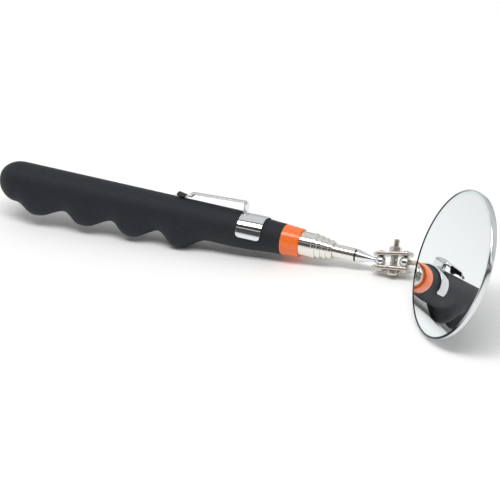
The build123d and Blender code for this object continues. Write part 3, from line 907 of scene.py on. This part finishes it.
class MIRROR_OT_mirror(Operator):
    """Rolls the rim round the glass and finishes the glass"""

    bl_idname = "inspection_mirror.mirror"
    bl_label = "Mirror"

    # The rim's strip, how far it is turned in behind, and its clearance round the glass.
    sheet, turned_in, clearance = 0.35, 1.6, 0.15
    # The way to the rim's side whose front edge keeps its steel colour as painted light. The rest of the edge is
    # painted dark as painted reflection.
    painted_light_side = Vector((0.68, -0.2, 0.7))

    def execute(self, context):
        settings = context.scene.mirror_settings
        rear, front = reach("bezel", glass_bench, 2)
        outer = widest("bezel", glass_bench)
        sheet, corner = self.sheet, settings.rim_round
        lip, inner = outer - settings.lip_inside, outer - self.sheet - self.clearance
        rear_lip = outer - self.turned_in
        outline = [(front - sheet, lip)]
        outline += arc((front - sheet / 2, lip + sheet / 2), sheet / 2, 180, 90, steps=4)
        outline += arc((front - corner, outer - corner), corner, 90, 0, steps=6)
        outline += arc((rear + corner, outer - corner), corner, 0, -90, steps=6)
        outline += [(rear, rear_lip), (rear + sheet, rear_lip), (rear + sheet, inner)]
        outline += [(front - sheet, inner), (front - sheet, lip)]
        rim = turned("rolled_rim", outline, 192)
        settle(rim, glass_bench)
        painted_light_way = glass_bench.inverted().to_3x3() @ self.painted_light_side
        steel = spun_stainless("spun_stainless", glass_bench, front, painted_light_way)
        hand_over(rim, "mirror_head", "bezel_steel", steel, "bezel")
        finish_node("mirror_glass", silvered_glass(settings.glass_colour))
        return {"FINISHED"}


class MIRROR_OT_mirror_back(Operator):
    """Finishes the steel disc, the lug, its rivets and the card behind the glass"""

    bl_idname = "inspection_mirror.mirror_back"
    bl_label = "Mirror back"

    def execute(self, context):
        finish_node("back_plate", rolled_steel("rolled_back_plate", glass_bench))
        finish_node("stud_lug", zinc_steel("zinc_lug", glass_bench))
        finish_node("lug_rivets", zinc_steel("zinc_rivets", glass_bench))
        card = plain_plastic("grey_card", glass_bench, ("#8A8780", "#7B7871"), (0.75, 0.9), 0.5)
        finish_node("backing_pad", card)
        return {"FINISHED"}


class MIRROR_OT_inside(Operator):
    """Finishes the pieces inside the tubes"""

    bl_idname = "inspection_mirror.inside"
    bl_label = "Pieces inside"

    def execute(self, context):
        brass = spring_brass("spring_brass", tube_bench)
        for number in (1, 2, 3):
            finish_node(f"friction_sleeve_{number}", brass)
        nylon = plain_plastic("natural_nylon", tube_bench, ("#E6E2D6", "#DCD7C9"), (0.38, 0.5), 0.6)
        finish_node("rod_guide", nylon)
        finish_node("mouth_bush", turned_nickel("bush_nickel", tube_bench))
        black = plain_plastic("black_nylon", tube_bench, ("#1E1F21", "#26272A"), (0.4, 0.55), 0.5)
        finish_node("rear_plug", black)
        return {"FINISHED"}


# ---------------------------------------------------------------- stage
class MIRROR_OT_stage(Operator):
    """Lays the floor and sets the lights and the camera"""

    bl_idname = "inspection_mirror.stage"
    bl_label = "Stage"

    azimuth = math.radians(25.19)
    elevation = math.radians(29.94)
    roll = math.radians(4.01)
    # The distance is in metres. The lens and the aim, from the collar's front, are in mm.
    distance = 6.0
    lens = 878.3
    right_of_collar = -25.66
    above_collar = -3.35
    floor_width = 12.0
    # Brightness of the tent by angle, from the near table edge over the top to the far one.
    tent_bands = (
        (0, 0.85), (10, 0.8), (14, 0.1), (41, 0.06), (43, 0.7), (46, 0.7), (48, 0.04), (65, 0.06),
        (67, 1.2), (86, 1.2), (88, 0.2), (94, 0.25), (98, 0.72), (140, 0.75), (160, 0.6), (180, 0.45),
    )
    # The tent's end panel behind the handle: its brightness, and where it starts and is full.
    tent_end = 0.9
    end_start, end_full = -0.72, -0.82
    # The soft box's power, sides and distance from the tool in metres, and its height angle.
    box_power = 24.0
    box_sides = (2.4, 0.7)
    box_distance = 2.0
    box_angle = math.radians(76)

    def execute(self, context):
        self.lay_floor()
        self.set_world(context.scene)
        self.set_lights()
        self.set_camera(context.scene)
        context.scene.view_settings.view_transform = "Standard"
        return {"FINISHED"}

    def lay_floor(self):
        """A pale seamless table top."""
        begin()
        bpy.ops.mesh.primitive_plane_add(size=self.floor_width)
        floor = bpy.context.object
        floor.name = "table_top"
        material, tree = new_material("pale_paper")
        vector = add_node(tree, "ShaderNodeTexCoord").outputs["Object"]
        tone = add_node(tree, "ShaderNodeTexNoise", {"Vector": vector}, features(40.0, 3))
        whites = ends(linear("#FCFCFB"), linear("#FEFEFE"))
        tint = add_node(tree, "ShaderNodeMix", {0: tone}, whites, data_type="RGBA")
        values = {"Roughness": 0.7, "IOR": 1.45}
        shader = add_node(tree, "ShaderNodeBsdfPrincipled", {"Base Color": tint.outputs[2]}, values)
        add_node(tree, "ShaderNodeOutputMaterial", {"Surface": shader})
        floor.data.materials.append(material)

    def set_world(self, scene):
        """A light tent. Bands that run along the tool give its metal lengthwise lines, and the end
        that the mirror faces stays evenly pale."""
        world = bpy.data.worlds.new("light_tent")
        scene.world = world
        world.use_nodes = True
        tree = world.node_tree
        tree.nodes.clear()
        way = add_node(tree, "ShaderNodeTexCoord").outputs["Generated"]
        parts = add_node(tree, "ShaderNodeSeparateXYZ", {"Vector": way}).outputs
        near = add_node(tree, "ShaderNodeMath", {0: parts["Y"]}, {1: -1.0}, operation="MULTIPLY")
        turn = add_node(tree, "ShaderNodeMath", {0: parts["Z"], 1: near}, operation="ARCTAN2")
        half_turn = between(0.0, 1.0, 0.0, math.pi)
        share = add_node(tree, "ShaderNodeMapRange", {"Value": turn}, half_turn)
        ramp = add_node(tree, "ShaderNodeValToRGB", {"Fac": share})
        bands = ramp.color_ramp.elements
        while len(bands) < len(self.tent_bands):
            bands.new(0.5)
        for band, (degrees, grey) in zip(bands, self.tent_bands):
            band.position = degrees / 180
            band.color = (grey, grey, grey, 1)
        panel = between(0.0, 1.0, self.end_start, self.end_full)
        end = add_node(tree, "ShaderNodeMapRange", {"Value": parts["X"]}, panel)
        pale = {7: (*(self.tent_end,) * 3, 1)}
        tent = add_node(tree, "ShaderNodeMix", {0: end, 6: ramp}, pale, data_type="RGBA")
        background = add_node(tree, "ShaderNodeBackground", {"Color": tent.outputs[2]})
        add_node(tree, "ShaderNodeOutputWorld", {"Surface": background})

    def set_lights(self):
        """One long soft box over the tool, in line with it."""
        light = bpy.data.lights.new("overhead_box", "AREA")
        light.shape = "RECTANGLE"
        light.size, light.size_y = self.box_sides
        light.energy = self.box_power
        box = bpy.data.objects.new("overhead_box", light)
        bpy.context.scene.collection.objects.link(box)
        way = Vector((0, -math.cos(self.box_angle), math.sin(self.box_angle)))
        box.location = way * self.box_distance
        box.rotation_euler = (math.pi / 2 - self.box_angle, 0, 0)

    def set_camera(self, scene):
        """The camera looks down at the tool from the front, a little from the mirror's end."""
        level = math.cos(self.elevation)
        back = Vector(
            (math.sin(self.azimuth) * level, -math.cos(self.azimuth) * level, math.sin(self.elevation))
        )
        level_view = (-back).to_track_quat("-Z", "Y").to_matrix().to_4x4()
        turn = level_view @ Matrix.Rotation(-self.roll, 4, "Z")
        right, above = turn.col[0].xyz, turn.col[1].xyz
        aim = collar_front + (right * self.right_of_collar + above * self.above_collar) * MM
        data = bpy.data.cameras.new("camera")
        data.lens = self.lens
        data.sensor_width = 36.0
        data.clip_end = 50.0
        camera = bpy.data.objects.new("camera", data)
        scene.collection.objects.link(camera)
        camera.matrix_world = Matrix.Translation(aim + back * self.distance) @ turn
        scene.camera = camera


class MIRROR_PT_pieces(Panel):
    """Lists the pieces in the 3D view's sidebar"""

    bl_label = "Inspection mirror"
    bl_idname = "MIRROR_PT_pieces"
    bl_space_type = "VIEW_3D"
    bl_region_type = "UI"
    bl_category = "Inspection mirror"

    def draw(self, context):
        for settings in settings_groups:
            group = getattr(context.scene, settings)
            for name in group.__annotations__:
                self.layout.prop(group, name)
        for step in steps:
            self.layout.operator(step.bl_idname)


settings_groups = {
    "handle_settings": HandleSettings,
    "tube_settings": TubeSettings,
    "clamp_settings": ClampSettings,
    "mirror_settings": MirrorSettings,
}
steps = (
    MIRROR_OT_grip,
    MIRROR_OT_collar,
    MIRROR_OT_pocket_clip,
    MIRROR_OT_tubes,
    MIRROR_OT_rod_tip,
    MIRROR_OT_clamp_plates,
    MIRROR_OT_fasteners,
    MIRROR_OT_mirror,
    MIRROR_OT_mirror_back,
    MIRROR_OT_inside,
    MIRROR_OT_stage,
)


def register():
    """Registers the settings, the operators and the panel."""
    for name, group in settings_groups.items():
        bpy.utils.register_class(group)
        setattr(bpy.types.Scene, name, PointerProperty(type=group))
    for step in (*steps, MIRROR_PT_pieces):
        bpy.utils.register_class(step)


def unregister():
    """Takes the settings, the operators and the panel away again."""
    for step in reversed((*steps, MIRROR_PT_pieces)):
        bpy.utils.unregister_class(step)
    for name, group in settings_groups.items():
        delattr(bpy.types.Scene, name)
        bpy.utils.unregister_class(group)


def main():
    """Registers the add-on and makes every piece and the stage."""
    register()
    bpy.ops.inspection_mirror.stage()
    bpy.ops.inspection_mirror.grip()
    bpy.ops.inspection_mirror.collar()
    bpy.ops.inspection_mirror.pocket_clip()
    bpy.ops.inspection_mirror.tubes()
    bpy.ops.inspection_mirror.rod_tip()
    bpy.ops.inspection_mirror.clamp_plates()
    bpy.ops.inspection_mirror.fasteners()
    bpy.ops.inspection_mirror.mirror()
    bpy.ops.inspection_mirror.mirror_back()
    bpy.ops.inspection_mirror.inside()
    begin()


if __name__ == "__main__":
    main()
